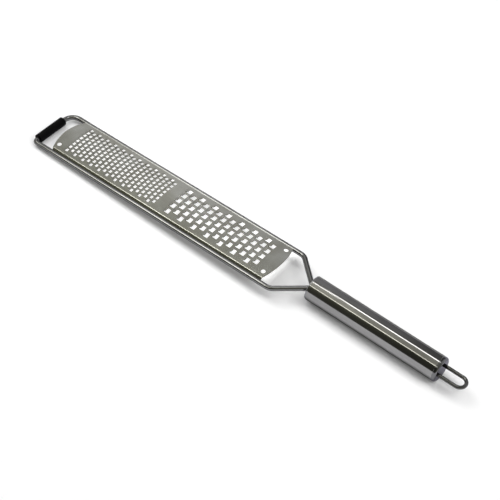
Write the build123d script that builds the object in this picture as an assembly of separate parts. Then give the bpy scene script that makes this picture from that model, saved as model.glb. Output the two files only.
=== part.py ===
from build123d import *
import os
from math import asin, atan2, cos, degrees, hypot, radians, sin, sqrt, tan

os.makedirs("parts", exist_ok=True)

# Hand rasp with a fine and a coarse zone of punched teeth, lengths in millimetres.
# The long way is X, from the rubber tip (-X) to the hanging loop (+X).
# The table is Z = 0, and the origin is under the middle of the whole length.

# Fits between pieces
weld_gap = 0.05
cap_fit = 0.05
wire_fit = 0.05
sleeve_fit = 0.05
overrun = 2.0

# Handle
handle_d = 20.0
handle_wall = 1.0
handle_length = 115.2
front_rim = 1.6
front_edge_r = 0.8
front_spigot = 12.0
rear_rim = 3.0
rear_edge_r = 1.9
rear_spigot = 10.0
spigot_lead = 0.5

# Frame wire
wire_d = 4.0
wire_spacing = 43.0
tip_reach = 263.2
neck_angle = 41.4
neck_bend_r = 8.0
entry_setback = 1.5
entry_bend_r = 3.5
tight_corner_r = 2.2
wide_corner_r = 8.8
tail_length = 9.0
tail_gap = 0.1

# Rubber sleeve on the tip
sleeve_d = 7.5
sleeve_tight_gap = 1.3
sleeve_wide_gap = 1.7
sleeve_edge = 0.5

# Blade sheet
sheet_t = 0.5
tip_clearance = 14.2
neck_clearance = 5.24
arch_r = 93.5
crown_height = 5.2
crest_inset = 2.5
fold_r = 0.9
end_arc_r = 51.5
pin_hole_d = 3.6
pin_side_inset = 5.0
pin_tip_inset = 5.9
pin_neck_inset = 6.5

# Zones of teeth: what stays plain round them, and how much of the blade the fine zone takes
fine_inset = 14.8
zone_gap = 14.6
neck_margin = 15.0
side_margin = 4.0
fine_zone_share = 0.42

# Fine teeth
fine_column_pitch = 4.29
fine_row_pitch = 4.19
fine_hole = 2.6
fine_edge_w = 1.4
fine_tooth_rise = 0.85
fine_tooth_reach = 0.8

# Coarse teeth
coarse_column_pitch = 6.49
coarse_row_pitch = 6.67
coarse_hole = 4.3
coarse_edge_w = 2.4
coarse_tooth_rise = 1.2
coarse_tooth_reach = 1.6

# Hanging loop
loop_wire_d = 2.8
loop_spacing = 10.1
loop_reach = 21.1
loop_tail = 7.0

# Sizes that follow
handle_r = handle_d / 2
bore_r = handle_r - handle_wall
wire_r = wire_d / 2
sleeve_r = sleeve_d / 2
half_spacing = wire_spacing / 2
crest_y = half_spacing - crest_inset
loop_wire_r = loop_wire_d / 2
tail_y = wire_r + tail_gap / 2
sleeve_length = wire_spacing - tight_corner_r - wide_corner_r - sleeve_tight_gap - sleeve_wide_gap

# Where the rod's two sides start to close towards the handle, and the blade between that and the tip
neck_run = (half_spacing - tail_y) / tan(radians(neck_angle))
neck_x = -entry_setback - neck_run
blade_neck_x = neck_x - neck_clearance
blade_tip_x = tip_clearance - tip_reach
blade_length = blade_neck_x - blade_tip_x

# How many columns and rows of teeth fit in each zone
fine_columns = 1 + int(blade_length * fine_zone_share / fine_column_pitch)
fine_run = (fine_columns - 1) * fine_column_pitch
coarse_room = blade_length - fine_inset - fine_run - zone_gap - neck_margin
coarse_columns = 1 + int(coarse_room / coarse_column_pitch)
row_room = 2 * (crest_y - side_margin)
fine_rows = 1 + int(row_room / fine_row_pitch)
coarse_rows = 1 + int(row_room / coarse_row_pitch)

# The handle lies flat on the table, and the frame slopes down until the sleeve touches it too.
frame_slope = asin((handle_r - sleeve_r) / tip_reach)
tip_run = tip_reach * cos(frame_slope) + sleeve_r
total_length = tip_run + handle_length + loop_reach
front_x = tip_run - total_length / 2

# X of the handle's frame is zero at its front face, on its axis.
handle_seat = Pos(front_x, 0, handle_r)

# The plane of the frame starts at the same point and slopes down towards the tip.
frame_seat = handle_seat * Rot(0, -degrees(frame_slope), 0)


# Helpers

def round_rod(path, radius):
    """A round rod of one thickness that follows a path."""
    return sweep(Plane(origin=path @ 0, z_dir=path % 0) * Circle(radius), path=path)


def bar_along_x(radius, start, length):
    """A round bar on the X axis that starts at a given place."""
    return Pos(start + length / 2, 0, 0) * Rot(0, 90, 0) * Cylinder(radius, length)


def end_rims(bar, side):
    """The circular edges at the +1 or -1 end of a bar on the X axis."""
    rims = bar.edges().filter_by(GeomType.CIRCLE).sort_by(Axis.X)
    return rims[-1:] if side > 0 else rims[:1]


# Frame wire

def frame_path():
    """Centre line of the rod: out of the handle, round the tip and back beside itself."""
    corners = [
        (tail_length, -tail_y),
        (-entry_setback, -tail_y),
        (neck_x, -half_spacing),
        (-tip_reach, -half_spacing),
        (-tip_reach, half_spacing),
        (neck_x, half_spacing),
        (-entry_setback, tail_y),
        (tail_length, tail_y),
    ]
    bends = [entry_bend_r, neck_bend_r, tight_corner_r, wide_corner_r, neck_bend_r, entry_bend_r]
    return FilletPolyline(*corners, radius=bends)


def make_frame_wire():
    """The bent rod that carries the blade."""
    return frame_seat * round_rod(frame_path(), wire_r)


# Tip sleeve

def make_tip_sleeve():
    """Rubber tube on the cross run of the rod, pushed up to its tight corner."""
    middle_y = tight_corner_r + sleeve_tight_gap + sleeve_length / 2 - half_spacing
    body = Cylinder(sleeve_r, sleeve_length)
    body = chamfer(body.edges().filter_by(GeomType.CIRCLE), sleeve_edge)
    body -= Cylinder(wire_r + sleeve_fit, sleeve_length + overrun)
    return frame_seat * Pos(-tip_reach, middle_y, 0) * Rot(90, 0, 0) * body


# Blade sheet

def arch_drop(y):
    """How far the arched sheet lies below its crown at a distance from the centre line."""
    return arch_r - sqrt(arch_r ** 2 - y ** 2)


def sheet_section():
    """Section of the sheet: a shallow arch whose edges fold down square on to the rod."""
    crest_z = crown_height - arch_drop(crest_y)
    fold_angle = atan2(crest_z, half_spacing - crest_y)
    fold_length = hypot(half_spacing - crest_y, crest_z) - wire_r - weld_gap
    foot_y = crest_y + fold_length * cos(fold_angle)
    foot_z = crest_z - fold_length * sin(fold_angle)
    outside = Polyline((-foot_y, foot_z), (-crest_y, crest_z))
    outside += ThreePointArc((-crest_y, crest_z), (0, crown_height), (crest_y, crest_z))
    outside += Polyline((crest_y, crest_z), (foot_y, foot_z))
    outside = Wire(outside.edges())
    crests = outside.vertices().sort_by(Axis.Y)[-2:]
    outside = fillet(crests, fold_r)
    return make_face(offset(outside, amount=sheet_t, kind=Kind.INTERSECTION, side=Side.RIGHT))


def sheet_plan():
    """Plan of the blade, wider than the sheet and bowed outwards at both ends."""
    bow = end_arc_r - sqrt(end_arc_r ** 2 - half_spacing ** 2)
    tip_side_x = blade_tip_x + bow
    neck_side_x = blade_neck_x - bow
    outline = ThreePointArc((tip_side_x, -half_spacing), (blade_tip_x, 0), (tip_side_x, half_spacing))
    outline += Line((tip_side_x, half_spacing), (neck_side_x, half_spacing))
    outline += ThreePointArc((neck_side_x, half_spacing), (blade_neck_x, 0), (neck_side_x, -half_spacing))
    outline += Line((neck_side_x, -half_spacing), (tip_side_x, -half_spacing))
    return make_face(outline)


def plain_sheet():
    """The folded sheet with its bowed ends, before anything is punched."""
    start = Plane.YZ.offset(blade_tip_x)
    sheet = extrude(start * sheet_section(), amount=blade_length)
    return sheet & extrude(sheet_plan(), amount=crown_height + overrun)


def on_arch(x, y):
    """Seat on the top of the sheet, square to its surface, X towards the handle."""
    return Pos(x, y, crown_height - arch_drop(y)) * Rot(-degrees(asin(y / arch_r)), 0, 0)


# Punched teeth

def tooth_tools(hole, edge_width, rise, reach):
    """The raised tab of one tooth, and the cutter that opens the hole below and beside it.

    X is zero at the hole's edge on the tip side. The tab is a strip of the sheet bent up along a
    straight ramp. Its underside leaves the hole's top edge, there it is as wide as the hole, and
    from there it tapers to its cutting edge.
    """
    lift = atan2(rise, reach) - asin(sheet_t / hypot(reach, rise))
    along = Vector(cos(lift), 0, sin(lift))
    outward = Vector(-sin(lift), 0, cos(lift))
    tip = Vector(reach, 0, rise)
    half_sheet = sheet_t / 2
    ramp_foot = tip - along * ((rise + half_sheet) / sin(lift))
    front_foot = tip - outward * (sheet_t + half_sheet)
    tab_side = Polyline(
        ramp_foot,
        tip,
        front_foot,
        Vector(front_foot.X, 0, -half_sheet),
        close=True,
    )
    tab_plan = Polyline(
        Vector(ramp_foot.X, -hole / 2),
        Vector(0, -hole / 2),
        Vector(front_foot.X, -edge_width / 2),
        Vector(front_foot.X, edge_width / 2),
        Vector(0, hole / 2),
        Vector(ramp_foot.X, hole / 2),
        close=True,
    )
    tab = extrude(make_face(tab_side), amount=hole, both=True)
    tab &= extrude(make_face(tab_plan), amount=rise + sheet_t, both=True)
    depth = sheet_t * 2
    underside_end = along * ((tip - outward * sheet_t).dot(along) + sheet_t)
    cutter_side = Polyline(
        Vector(0, 0, -depth),
        Vector(0, 0, 0),
        underside_end,
        Vector(hole, 0, underside_end.Z),
        Vector(hole, 0, -depth),
        close=True,
    )
    cutter = extrude(make_face(cutter_side), amount=hole / 2, both=True)
    return tab, cutter


def staggered(start_x, columns, rows, column_pitch, row_pitch):
    """Places of a zone's teeth: every second column has one less, half a pitch across."""
    places = []
    for column in range(columns):
        count = rows - column % 2
        for row in range(count):
            y = (row - (count - 1) / 2) * row_pitch
            places.append((start_x + column * column_pitch, y))
    return places


def zone_tools(places, hole, edge_width, rise, reach):
    """Tabs and cutters of one zone, each seated square on the arch with its hole centred."""
    tab, cutter = tooth_tools(hole, edge_width, rise, reach)
    seats = [on_arch(x - hole / 2, y) for x, y in places]
    return [seat * tab for seat in seats], [seat * cutter for seat in seats]


def pin_holes():
    """Small round holes near the corners, two at the neck and one at the tip."""
    tip_row_x = blade_tip_x + pin_tip_inset
    neck_row_x = blade_neck_x - pin_neck_inset
    side_y = crest_y - pin_side_inset
    places = [(tip_row_x, -side_y), (neck_row_x, -side_y), (neck_row_x, side_y)]
    drill = Cylinder(pin_hole_d / 2, overrun)
    return [on_arch(x, y) * drill for x, y in places]


def make_blade():
    """The arched sheet with its fine zone by the tip and its coarse zone by the neck."""
    fine_x = blade_tip_x + fine_inset
    fine_places = staggered(fine_x, fine_columns, fine_rows, fine_column_pitch, fine_row_pitch)
    coarse_x = fine_x + fine_run + zone_gap
    coarse_places = staggered(coarse_x, coarse_columns, coarse_rows, coarse_column_pitch, coarse_row_pitch)
    fine_tabs, fine_cutters = zone_tools(
        fine_places, fine_hole, fine_edge_w, fine_tooth_rise, fine_tooth_reach
    )
    coarse_tabs, coarse_cutters = zone_tools(
        coarse_places, coarse_hole, coarse_edge_w, coarse_tooth_rise, coarse_tooth_reach
    )
    sheet = plain_sheet().fuse(*fine_tabs, *coarse_tabs)
    sheet = sheet.cut(*fine_cutters, *coarse_cutters, *pin_holes())
    return frame_seat * sheet


# Handle

def make_handle_tube():
    """Plain tube between the rims of the two end caps."""
    start = front_rim + weld_gap
    length = handle_length - rear_rim - weld_gap - start
    tube = bar_along_x(handle_r, start, length)
    tube -= bar_along_x(bore_r, start - overrun, length + 2 * overrun)
    return handle_seat * tube


def make_front_cap():
    """Plug of the front end, with one slot for the rod's two tails."""
    rim = bar_along_x(handle_r, 0, front_rim)
    rim = fillet(end_rims(rim, -1), front_edge_r)
    spigot = bar_along_x(bore_r - cap_fit, front_rim / 2, front_rim / 2 + front_spigot)
    spigot = chamfer(end_rims(spigot, 1), spigot_lead)
    cap = handle_seat * (rim + spigot)
    slot_r = wire_r + wire_fit
    slot = Plane.YZ.offset(-overrun) * SlotCenterToCenter(2 * tail_y, 2 * slot_r)
    return cap - frame_seat * extrude(slot, amount=overrun + tail_length + wire_fit)


def make_rear_cap():
    """Plug of the rear end with a rounded shoulder and two holes for the hanging loop."""
    rim = bar_along_x(handle_r, handle_length - rear_rim, rear_rim)
    rim = fillet(end_rims(rim, 1), rear_edge_r)
    spigot_x = handle_length - rear_rim - rear_spigot
    spigot = bar_along_x(bore_r - cap_fit, spigot_x, rear_spigot + rear_rim / 2)
    spigot = chamfer(end_rims(spigot, -1), spigot_lead)
    cap = rim + spigot
    bottom_x = handle_length - loop_tail - wire_fit
    drill = bar_along_x(loop_wire_r + wire_fit, bottom_x, loop_tail + overrun)
    for side in (-1, 1):
        cap -= Pos(0, side * loop_spacing / 2, 0) * drill
    return handle_seat * cap


# Hanging loop

def make_hanging_loop():
    """Bent wire loop that lies level, both legs set into the rear cap."""
    arc_r = loop_spacing / 2
    leg_x = handle_length - loop_tail
    arc_x = handle_length + loop_reach - loop_wire_r - arc_r
    path = Line((leg_x, -arc_r), (arc_x, -arc_r))
    path += ThreePointArc((arc_x, -arc_r), (arc_x + arc_r, 0), (arc_x, arc_r))
    path += Line((arc_x, arc_r), (leg_x, arc_r))
    return handle_seat * round_rod(Wire(path.edges()), loop_wire_r)


export_step(make_blade(), "parts/grater_blade.step")
export_step(make_frame_wire(), "parts/frame_wire.step")
export_step(make_tip_sleeve(), "parts/tip_sleeve.step")
export_step(make_handle_tube(), "parts/handle_tube.step")
export_step(make_front_cap(), "parts/handle_front_cap.step")
export_step(make_rear_cap(), "parts/handle_rear_cap.step")
export_step(make_hanging_loop(), "parts/hanging_loop.step")
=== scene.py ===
import math

import bpy
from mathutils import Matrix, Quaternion, Vector

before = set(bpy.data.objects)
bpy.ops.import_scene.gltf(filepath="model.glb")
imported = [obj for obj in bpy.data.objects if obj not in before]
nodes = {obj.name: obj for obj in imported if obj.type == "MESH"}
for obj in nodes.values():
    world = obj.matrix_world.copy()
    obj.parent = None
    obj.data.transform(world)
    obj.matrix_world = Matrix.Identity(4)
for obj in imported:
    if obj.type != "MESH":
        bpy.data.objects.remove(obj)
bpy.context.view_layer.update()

# Lengths are metres, in the frame of the part: X from the rubber tip to the hanging loop, Z up.
MM = 0.001

# View of the photograph
CAMERA_PLACE = Vector((0.3951, -0.5700, 0.7793))
CAMERA_AIM = Vector((0.0078, -0.0017, 0.0100))
CAMERA_ROLL = math.radians(5.70)
CAMERA_LENS = 98.5
CAMERA_CLIP = 0.05
SENSOR_WIDTH = 36.0

# Floor: a white disc with a glow that only the camera, reflections and glass see. It is faint near
# the tool, stronger in a patch of painted light under the blade, which takes away the blade's
# shadow there and shows white through its holes, and full far away, where it rises between two
# distances.
FLOOR_RADIUS = 9.0
FLOOR_SIDES = 96
FLOOR_COLOUR = (0.9, 0.9, 0.9, 1.0)
FLOOR_GLOW = 0.05
# Painted light under the blade, where the blade's shadow would fall
UNDER_BLADE_GLOW = 0.75
UNDER_BLADE_X = (-0.183, 0.031)
UNDER_BLADE_Y = (-0.012, 0.026)
UNDER_BLADE_FADE = 0.004
FAR_FLOOR_GLOW = 1.0
FAR_FLOOR = (0.9, 2.2)

# Brightness of the room by direction: the stops of a ramp over -1 to 1 along X and of one
# along Y, which multiply, and the light that is added to them everywhere
ROOM_ALONG = (
    (-1.0, 0.75),
    (-0.63, 1.10),
    (-0.59, 0.58),
    (-0.545, 0.62),
    (-0.525, 1.08),
    (-0.46, 1.00),
    (-0.33, 0.45),
    (-0.26, 0.26),
    (-0.235, 0.13),
    (-0.20, 0.075),
    (-0.12, 0.09),
    (0.05, 0.40),
    (0.35, 0.75),
    (1.0, 0.80),
)
ROOM_ACROSS = (
    (-1.0, (0.07, 0.07, 0.06)),
    (-0.80, (0.12, 0.12, 0.085)),
    (-0.60, (0.28, 0.28, 0.20)),
    (-0.25, (0.45, 0.45, 0.40)),
    (0.21, (0.55, 0.55, 0.50)),
    (0.56, (1.00, 1.00, 1.00)),
    (1.0, (1.00, 1.00, 1.03)),
)
ROOM_LEAST = (0.045, 0.045, 0.036)

# Share of the room's light for matte surfaces, and the heights between which its white low part
# fades out, as the Z of a direction
ROOM_FOR_MATTE = 0.02
HORIZON = (0.02, 0.06)

# Soft lamps, as low and high x or y: each has a part over the tool and one beyond each end, and
# a radiance for the first and one for the other two
SOFTBOX_HEIGHT = 1.5
SOFTBOX_MIDDLE = (-0.75, 0.75)
SOFTBOX_ENDS = (("tip", (-4.6, -0.75)), ("loop", (0.75, 2.8)))
OVERHEAD_Y = (-0.13, 0.92)
OVERHEAD_RADIANCE = (1.60, 4.42)
SHOULDER_Y = (-0.78, -0.13)
SHOULDER_RADIANCE = (0.59, 1.63)

# Fill lamp, tilted towards the tool from the camera's side
FILL_SIDES = ((-0.90, 0.90), (-1.75, -0.95))
FILL_HEIGHT = 0.9
FILL_TILT = math.radians(55)
FILL_RADIANCE = 0.8

# Strip lamps for the reflections, which light nothing matte: low and high x, low and high y,
# radiance and colour
STRIP_HEIGHT = 1.0
WARM = (1.0, 0.985, 0.84)
STRIPS = (
    ("front_line", ((-0.345, -0.235), (0.09, 0.17)), 6.4, (1.0, 0.99, 0.95)),
    ("rear_line", ((-0.25, 0.15), (0.20, 0.335)), 5.4, (1.0, 0.99, 0.96)),
    ("near_line", ((-0.36, -0.11), (-0.64, -0.53)), 4.0, WARM),
    ("near_line_rear", ((-0.11, 0.15), (-0.70, -0.58)), 4.0, WARM),
    ("between_front", ((-0.345, -0.20), (-0.50, 0.20)), 0.67, WARM),
    ("between_rear", ((-0.20, 0.15), (-0.50, 0.20)), 0.45, WARM),
    ("fold_line", ((-1.00, -0.42), (-0.62, -0.40)), 6.5, (1.0, 0.99, 0.90)),
    ("tip_panel", ((-0.84, -0.70), (-0.26, 0.06)), 3.0, (1.0, 0.99, 0.93)),
    ("blade_panel", ((-0.70, -0.37), (-0.28, 0.06)), 5.2, (1.0, 0.99, 0.93)),
)

# Noise patterns: waves per metre, detail and roughness, and the span that noise values fill
CLOUDS = (60.0, 4.0, 0.5)
POLISH = (1200.0, 2.0, 0.6)
SCRATCHES = (3500.0, 2.0, 0.7)
BLOOM = (150.0, 4.0, 0.5)
SKIN = (2500.0, 2.0, 0.5)
NOISE_SPAN = (0.3, 0.7)

# Tone of steel seen at a grazing angle: darkened as painted shade along silhouettes, nearly black
# on the rods and loop, and lavender on the rear cap as a painted reflection of the floor
STEEL_SHADED_RIM = (0.25, 0.25, 0.25, 1.0)
WIRE_SHADED_RIM = (0.02, 0.02, 0.02, 1.0)
END_CAP_PAINTED_RIM = (0.55, 0.54, 0.60, 1.0)

# Scratches of the steel, and its edges: softened by a bevel, and lighter where the softened normal
# turns away from the face's own, partly as bare worn metal and partly as a painted highlight along
# folds and tooth edges
SCRATCH_STRENGTH = 0.6
EDGE_SAMPLES = 4
# Light colour of the edges: partly rubbed bare metal, partly a painted highlight
WEAR_AND_HIGHLIGHT_COLOUR = (0.62, 0.62, 0.61)
WEAR_AND_HIGHLIGHT_TURN = (0.80, 0.97)

# Finishes of steel: the two tones of its clouds, the range of its roughness, the grain of its
# polish and scratches (drawn out along an axis where it is below 1), the scratches' height, the
# radius of its soft edges and its tone at a grazing angle
STEELS = {
    "blade_steel": {
        "tones": ((0.28, 0.275, 0.245), (0.37, 0.372, 0.35)),
        "roughness": (0.15, 0.20),
        "grain": (0.06, 1, 1),
        "grain_height": 0.0002 * MM,
        "edge": 0.12 * MM,
        "rim": STEEL_SHADED_RIM,
    },
    "rod_steel": {
        "tones": ((0.175, 0.175, 0.178), (0.215, 0.215, 0.22)),
        "roughness": (0.05, 0.10),
        "grain": (1, 1, 1),
        "grain_height": 0.001 * MM,
        "edge": 0.1 * MM,
        "rim": WIRE_SHADED_RIM,
    },
    "handle_steel": {
        "tones": ((0.252, 0.25, 0.252), (0.292, 0.29, 0.292)),
        "roughness": (0.06, 0.11),
        "grain": (0.1, 1, 1),
        "grain_height": 0.001 * MM,
        "edge": 0.1 * MM,
        "rim": STEEL_SHADED_RIM,
    },
    "cap_steel": {
        "tones": ((0.25, 0.25, 0.265), (0.29, 0.29, 0.305)),
        "roughness": (0.08, 0.13),
        "grain": (1, 0.2, 0.2),
        "grain_height": 0.001 * MM,
        "edge": 0.15 * MM,
        "rim": STEEL_SHADED_RIM,
    },
    # The rear cap: the cap steel in darker tones, as painted shade
    "end_cap_shaded_steel": {
        "tones": ((0.14, 0.14, 0.146), (0.175, 0.175, 0.183)),
        "roughness": (0.07, 0.12),
        "grain": (1, 0.2, 0.2),
        "grain_height": 0.001 * MM,
        "edge": 0.15 * MM,
        "rim": END_CAP_PAINTED_RIM,
    },
    "loop_steel": {
        "tones": ((0.10, 0.10, 0.10), (0.13, 0.13, 0.13)),
        "roughness": (0.03, 0.07),
        "grain": (1, 1, 1),
        "grain_height": 0.001 * MM,
        "edge": 0.1 * MM,
        "rim": WIRE_SHADED_RIM,
    },
}

# Finish of the rubber
RUBBER_TONES = ((0.0006, 0.0006, 0.0008), (0.002, 0.002, 0.0022))
RUBBER_ROUGHNESS = (0.5, 0.68)
RUBBER_SHINE = 0.06
SKIN_HEIGHT = 0.03 * MM
SKIN_STRENGTH = 0.5

# Every piece of the tool with its finish and its slot
PIECES = (
    ("grater_blade", "blade_steel", "blade_steel"),
    ("frame_wire", "rod_steel", "rod_steel"),
    ("tip_sleeve", "sleeve_rubber", "sleeve_rubber"),
    ("handle_tube", "handle_steel", "handle_steel"),
    ("handle_front_cap", "cap_steel", "cap_steel"),
    # The rear cap carries a darker copy of the cap steel, as painted shade
    ("handle_rear_cap", "end_cap_shaded_steel", "cap_steel"),
    ("hanging_loop", "loop_steel", "loop_steel"),
)


# Node helpers: the owner of the nodes is a material or the world

def new_material(name):
    """A node material that is still empty."""
    material = bpy.data.materials.new(name)
    material.use_nodes = True
    material.node_tree.nodes.clear()
    return material


def add(owner, kind, **settings):
    """A node of one kind with its plain settings."""
    node = owner.node_tree.nodes.new(kind)
    for key, value in settings.items():
        setattr(node, key, value)
    return node


def link(owner, source, target):
    """Joins an output socket to an input socket."""
    owner.node_tree.links.new(source, target)


def calculate(owner, operation, first, second):
    """One step of arithmetic on two values, each a socket or a number."""
    node = add(owner, "ShaderNodeMath", operation=operation)
    for value, socket in ((first, node.inputs[0]), (second, node.inputs[1])):
        if isinstance(value, (int, float)):
            socket.default_value = value
        else:
            link(owner, value, socket)
    return node.outputs["Value"]


def combine(owner, operation, first, second, result="Vector"):
    """One step of arithmetic on the vectors or colours of two sockets."""
    node = add(owner, "ShaderNodeVectorMath", operation=operation)
    link(owner, first, node.inputs[0])
    link(owner, second, node.inputs[1])
    return node.outputs[result]


def spread(owner, value, low, high, start=NOISE_SPAN[0], end=NOISE_SPAN[1]):
    """Maps start to end on to low to high, and stays at low or high outside them."""
    node = add(owner, "ShaderNodeMapRange", clamp=True)
    node.inputs["From Min"].default_value = start
    node.inputs["From Max"].default_value = end
    node.inputs["To Min"].default_value = low
    node.inputs["To Max"].default_value = high
    link(owner, value, node.inputs["Value"])
    return node.outputs["Result"]


def band(owner, value, limits, fade):
    """One inside two limits and zero outside them, with soft borders."""
    low, high = limits
    rising = spread(owner, value, 0.0, 1.0, low - fade, low + fade)
    falling = spread(owner, value, 1.0, 0.0, high - fade, high + fade)
    return calculate(owner, "MULTIPLY", rising, falling)


def surface(owner, shader, kind="ShaderNodeOutputMaterial"):
    """Joins a finished shader to the output."""
    output = add(owner, kind)
    link(owner, shader, output.inputs["Surface"])


# Parts of the materials

def object_place(material):
    """Coordinates of the part's own frame, in metres."""
    return add(material, "ShaderNodeTexCoord").outputs["Object"]


def noise(material, place, pattern, stretch=(1, 1, 1)):
    """Noise of one pattern, drawn out along an axis by a small stretch."""
    waves, detail, roughness = pattern
    mapping = add(material, "ShaderNodeMapping")
    mapping.inputs["Scale"].default_value = stretch
    link(material, place, mapping.inputs["Vector"])
    texture = add(material, "ShaderNodeTexNoise")
    texture.inputs["Scale"].default_value = waves
    texture.inputs["Detail"].default_value = detail
    texture.inputs["Roughness"].default_value = roughness
    link(material, mapping.outputs["Vector"], texture.inputs["Vector"])
    return texture.outputs["Fac"]


def blend_colours(material, factor, first, second):
    """Mixes two colours by a value between 0 and 1."""
    ramp = add(material, "ShaderNodeValToRGB")
    ramp.color_ramp.elements[0].color = (*first, 1.0)
    ramp.color_ramp.elements[1].color = (*second, 1.0)
    link(material, factor, ramp.inputs["Fac"])
    return ramp.outputs["Color"]


def bump(material, height, distance, strength, normal=None):
    """A bump of a real height, on top of another normal where one is given."""
    node = add(material, "ShaderNodeBump")
    node.inputs["Strength"].default_value = strength
    node.inputs["Distance"].default_value = distance
    link(material, height, node.inputs["Height"])
    if normal is not None:
        link(material, normal, node.inputs["Normal"])
    return node.outputs["Normal"]


def soft_edges(material, radius):
    """A normal that rounds every edge by a small real radius."""
    node = add(material, "ShaderNodeBevel", samples=EDGE_SAMPLES)
    node.inputs["Radius"].default_value = radius
    return node.outputs["Normal"]


def edge_wear_and_highlight(material, softened, tone):
    """The tone of the steel, lighter along its edges, partly as rubbed bare metal and partly as a
    painted highlight.
    """
    face = add(material, "ShaderNodeNewGeometry").outputs["True Normal"]
    turn = combine(material, "DOT_PRODUCT", softened, face, "Value")
    worn_and_highlit = spread(material, turn, 1.0, 0.0, *WEAR_AND_HIGHLIGHT_TURN)
    mix = add(material, "ShaderNodeMix", data_type="RGBA")
    first, second = [socket for socket in mix.inputs if socket.type == "RGBA"]
    link(material, worn_and_highlit, mix.inputs[0])
    link(material, tone, first)
    second.default_value = (*WEAR_AND_HIGHLIGHT_COLOUR, 1.0)
    return next(socket for socket in mix.outputs if socket.type == "RGBA")


def seen_directly_or_in_steel(material):
    """One for rays from the camera, from a reflection or through glass, and zero for the rest."""
    path = add(material, "ShaderNodeLightPath")
    seen = path.outputs["Is Camera Ray"]
    for other in ("Is Glossy Ray", "Is Transmission Ray"):
        seen = calculate(material, "MAXIMUM", seen, path.outputs[other])
    return seen


# Materials

def steel(name, tones, roughness, grain, grain_height, edge, rim):
    """Stainless steel: cloudy tone, uneven polish, a fine grain and soft edges, lightened partly
    by wear and partly by a painted highlight.
    """
    material = new_material(name)
    shader = add(material, "ShaderNodeBsdfPrincipled")
    shader.inputs["Metallic"].default_value = 1.0
    # The grazing tint darkens edges as painted shade, and on the rear cap tints them as a painted
    # reflection
    shader.inputs["Specular Tint"].default_value = rim
    place = object_place(material)
    clouds = spread(material, noise(material, place, CLOUDS), 0.0, 1.0)
    polish = spread(material, noise(material, place, POLISH, grain), *roughness)
    scratches = noise(material, place, SCRATCHES, grain)
    edges = soft_edges(material, edge)
    # Edges lightened partly as wear and partly as a painted highlight
    tone = edge_wear_and_highlight(material, edges, blend_colours(material, clouds, *tones))
    normal = bump(material, scratches, grain_height, SCRATCH_STRENGTH, edges)
    link(material, tone, shader.inputs["Base Color"])
    link(material, polish, shader.inputs["Roughness"])
    link(material, normal, shader.inputs["Normal"])
    surface(material, shader.outputs["BSDF"])
    return material


def rubber(name):
    """Matte black rubber with a faint bloom and a fine skin."""
    material = new_material(name)
    shader = add(material, "ShaderNodeBsdfPrincipled")
    shader.inputs["Specular IOR Level"].default_value = RUBBER_SHINE
    place = object_place(material)
    bloom = noise(material, place, BLOOM)
    skin = noise(material, place, SKIN)
    tone = blend_colours(material, spread(material, bloom, 0.0, 1.0), *RUBBER_TONES)
    polish = spread(material, bloom, *RUBBER_ROUGHNESS)
    normal = bump(material, skin, SKIN_HEIGHT, SKIN_STRENGTH)
    link(material, tone, shader.inputs["Base Color"])
    link(material, polish, shader.inputs["Roughness"])
    link(material, normal, shader.inputs["Normal"])
    surface(material, shader.outputs["BSDF"])
    return material


def floor_glow(material):
    """Strength of the floor's own light, near the tool, under the blade and far away."""
    place = object_place(material)
    axes = add(material, "ShaderNodeSeparateXYZ")
    link(material, place, axes.inputs["Vector"])
    along = band(material, axes.outputs["X"], UNDER_BLADE_X, UNDER_BLADE_FADE)
    across = band(material, axes.outputs["Y"], UNDER_BLADE_Y, UNDER_BLADE_FADE)
    under_blade = calculate(material, "MULTIPLY", along, across)
    near = spread(material, under_blade, FLOOR_GLOW, UNDER_BLADE_GLOW, 0.0, 1.0)
    distance = add(material, "ShaderNodeVectorMath", operation="LENGTH")
    link(material, place, distance.inputs[0])
    far = spread(material, distance.outputs["Value"], 0.0, FAR_FLOOR_GLOW, *FAR_FLOOR)
    level = calculate(material, "MAXIMUM", near, far)
    return calculate(material, "MULTIPLY", level, seen_directly_or_in_steel(material))


def floor_material():
    """White paper that keeps the shadow around the tool, with painted light under the blade that
    shows white through its holes.
    """
    material = new_material("white_floor")
    paper = add(material, "ShaderNodeBsdfDiffuse")
    paper.inputs["Color"].default_value = FLOOR_COLOUR
    glow = add(material, "ShaderNodeEmission")
    link(material, floor_glow(material), glow.inputs["Strength"])
    together = add(material, "ShaderNodeAddShader")
    link(material, paper.outputs["BSDF"], together.inputs[0])
    link(material, glow.outputs["Emission"], together.inputs[1])
    surface(material, together.outputs["Shader"])
    return material


def dress(node, material):
    """Puts one material on the whole of a CAD node."""
    piece = nodes[node]
    piece.data.materials.clear()
    piece.data.materials.append(material)


def dress_pieces():
    """Makes the finishes and gives each piece of the tool its own."""
    finishes = {name: steel(name, **finish) for name, finish in STEELS.items()}
    finishes["sleeve_rubber"] = rubber("sleeve_rubber")
    for node, finish, slot in PIECES:
        dress(node, finishes[finish])


# Floor, world, lamps and camera

def make_floor():
    """A large white disc that the tool lies on."""
    mesh = bpy.data.meshes.new("floor")
    rim = [2 * math.pi * i / FLOOR_SIDES for i in range(FLOOR_SIDES)]
    points = [(FLOOR_RADIUS * math.cos(a), FLOOR_RADIUS * math.sin(a), 0.0) for a in rim]
    mesh.from_pydata(points, [], [list(range(FLOOR_SIDES))])
    floor = bpy.data.objects.new("floor", mesh)
    bpy.context.scene.collection.objects.link(floor)
    mesh.materials.append(floor_material())


def room_ramp(world, direction, stops):
    """A ramp over one part of a direction, which runs from -1 to 1."""
    ramp = add(world, "ShaderNodeValToRGB")
    points = ramp.color_ramp.elements
    made = len(points)
    for number, (where, level) in enumerate(stops):
        point = points[number] if number < made else points.new(1.0)
        point.position = (where + 1) / 2
        point.color = (*level, 1.0) if isinstance(level, tuple) else (level, level, level, 1.0)
    link(world, spread(world, direction, 0.0, 1.0, -1.0, 1.0), ramp.inputs["Fac"])
    return ramp.outputs["Color"]


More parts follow.
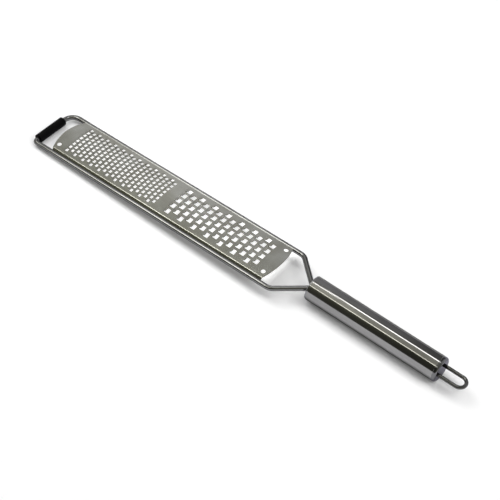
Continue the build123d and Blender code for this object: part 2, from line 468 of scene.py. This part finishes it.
def make_world():
    """The room: lighter beyond the tool, dim overhead and near the camera, white low down."""
    world = bpy.data.worlds.new("studio")
    bpy.context.scene.world = world
    world.use_nodes = True
    world.node_tree.nodes.clear()
    axes = add(world, "ShaderNodeSeparateXYZ")
    link(world, add(world, "ShaderNodeTexCoord").outputs["Generated"], axes.inputs["Vector"])
    along = room_ramp(world, axes.outputs["X"], ROOM_ALONG)
    across = room_ramp(world, axes.outputs["Y"], ROOM_ACROSS)
    lifted = add(world, "ShaderNodeVectorMath", operation="ADD")
    link(world, combine(world, "MULTIPLY", along, across), lifted.inputs[0])
    lifted.inputs[1].default_value = ROOM_LEAST
    horizon = spread(world, axes.outputs["Z"], 1.0, 0.0, *HORIZON)
    whole = combine(world, "MAXIMUM", lifted.outputs["Vector"], horizon)
    matte = add(world, "ShaderNodeLightPath").outputs["Is Diffuse Ray"]
    room = add(world, "ShaderNodeBackground")
    link(world, whole, room.inputs["Color"])
    link(world, spread(world, matte, 1.0, ROOM_FOR_MATTE, 0.0, 1.0), room.inputs["Strength"])
    surface(world, room.outputs["Background"], "ShaderNodeOutputWorld")


def make_lamp(name, sides, height, radiance, colour=(1.0, 1.0, 1.0), glossy=True, diffuse=True):
    """A level soft light of an even brightness over ((low x, high x), (low y, high y))."""
    (low_x, high_x), (low_y, high_y) = sides
    lamp = bpy.data.lights.new(name, "AREA")
    lamp.shape = "RECTANGLE"
    lamp.size = high_x - low_x
    lamp.size_y = high_y - low_y
    lamp.color = colour
    lamp.energy = radiance * math.pi * lamp.size * lamp.size_y
    holder = bpy.data.objects.new(name, lamp)
    holder.location = ((low_x + high_x) / 2, (low_y + high_y) / 2, height)
    holder.visible_glossy = glossy
    holder.visible_diffuse = diffuse
    bpy.context.scene.collection.objects.link(holder)
    return holder


def make_softbox(name, across, radiances):
    """A wide soft light in three parts, dimmer over the tool than beyond its ends."""
    over_tool, beyond = radiances
    make_lamp(name, (SOFTBOX_MIDDLE, across), SOFTBOX_HEIGHT, over_tool, glossy=False)
    for end, along in SOFTBOX_ENDS:
        make_lamp(f"{name}_{end}", (along, across), SOFTBOX_HEIGHT, beyond, glossy=False)


def make_lamps():
    """Soft lamps that light the floor and make its shadow, and strips that the steel reflects."""
    make_softbox("overhead", OVERHEAD_Y, OVERHEAD_RADIANCE)
    make_softbox("shoulder", SHOULDER_Y, SHOULDER_RADIANCE)
    fill = make_lamp("fill", FILL_SIDES, FILL_HEIGHT, FILL_RADIANCE, glossy=False)
    fill.rotation_euler = (FILL_TILT, 0, 0)
    for name, sides, radiance, colour in STRIPS:
        make_lamp(name, sides, STRIP_HEIGHT, radiance, colour, diffuse=False)


def make_camera():
    """The photograph's camera, solved for a frame of 500 by 500 pixels."""
    data = bpy.data.cameras.new("camera")
    data.lens = CAMERA_LENS
    data.sensor_width = SENSOR_WIDTH
    data.sensor_fit = "HORIZONTAL"
    data.clip_start = CAMERA_CLIP
    camera = bpy.data.objects.new("camera", data)
    camera.location = CAMERA_PLACE
    camera.rotation_mode = "QUATERNION"
    look = (CAMERA_AIM - CAMERA_PLACE).to_track_quat("-Z", "Y")
    camera.rotation_quaternion = look @ Quaternion((0, 0, 1), CAMERA_ROLL)
    bpy.context.scene.collection.objects.link(camera)
    bpy.context.scene.camera = camera


bpy.context.scene.view_settings.view_transform = "Standard"
make_camera()
make_world()
make_lamps()
make_floor()
dress_pieces()
